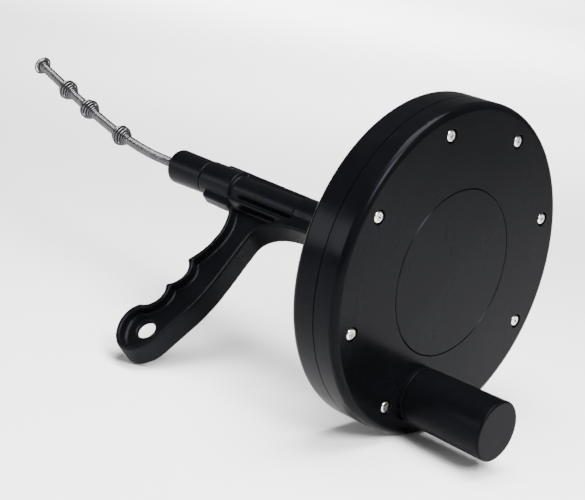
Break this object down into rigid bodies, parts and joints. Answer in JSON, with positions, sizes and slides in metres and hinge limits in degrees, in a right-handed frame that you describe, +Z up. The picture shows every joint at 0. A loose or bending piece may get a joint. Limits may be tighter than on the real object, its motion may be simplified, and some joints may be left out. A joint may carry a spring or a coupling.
{
  "type": "drain auger",
  "caption": "Hand-cranked drum drain auger: round cable drum with a crank knob, pistol grip with a long barrel, twist-lock nose collar and a spring cable with a bulb head.",
  "frame": {"origin": "centre of the drum's flat rear face, on the axis that the drum, the barrel and the nose share", "axes": "+X along the drum's axis from the rear face to the nose; +Z up with the tool laid on a table, on the drum's rim and the end of the handle, so the grip leans 46 degrees about X to its left; +Y to the tool's left, the side that the handle leans to"},
  "size_m": [0.4498, 0.1932, 0.19],
  "materials": {
    "black_shell": "satin moulded black plastic, faint blue-grey sheen, light scuffs",
    "black_grip": "satin moulded black plastic with fine edge highlights",
    "black_knob": "satin moulded black plastic, handled smooth",
    "screw_steel": "bright zinc-plated steel",
    "cable_steel": "bright drawn spring wire, closely wound",
    "inner_steel": "plain steel",
    "bearing_bronze": "sintered bronze",
    "nylon": "natural nylon"
  },
  "bodies": {
    "grip": {"pistol_grip": "black_grip", "guide_tube": "inner_steel", "retaining_ring": "inner_steel", "hub_washer": "inner_steel", "thrust_washer": "nylon", "nose_collet": "nylon", "collar_snap_ring": "inner_steel"},
    "drum": {"drum_front_shell": "black_shell", "drum_rear_cover": "black_shell", "cover_screws": "screw_steel", "hub_bushing": "bearing_bronze", "cable_coil": "cable_steel", "cable_lead": "cable_steel", "cable_anchor": "inner_steel", "anchor_screw": "screw_steel"},
    "knob": {"crank_knob": "black_knob", "knob_bolt": "inner_steel", "knob_inner_washer": "inner_steel", "knob_outer_washer": "nylon"},
    "collar": {"nose_collar": "black_grip"},
    "snake": {"cable_in_barrel": "cable_steel", "snake_cable": "cable_steel", "auger_head": "cable_steel"}
  },
  "joints": [
    {"name": "drum_spin", "type": "hinge", "parent": "grip", "child": "drum", "pos_m": [0, 0, 0], "axis": [1, 0, 0], "continuous": true},
    {"name": "knob_spin", "type": "hinge", "parent": "drum", "child": "knob", "pos_m": [0, 0.01192, -0.06898], "axis": [1, 0, 0], "continuous": true},
    {"name": "collar_turn", "type": "hinge", "parent": "grip", "child": "collar", "pos_m": [0.21, 0, 0], "axis": [1, 0, 0], "range_deg": [0, 90]},
    {"name": "cable_feed", "type": "slide", "parent": "drum", "child": "snake", "axis": [1, 0, 0], "range_m": [-0.015, 0.1]}
  ]
}
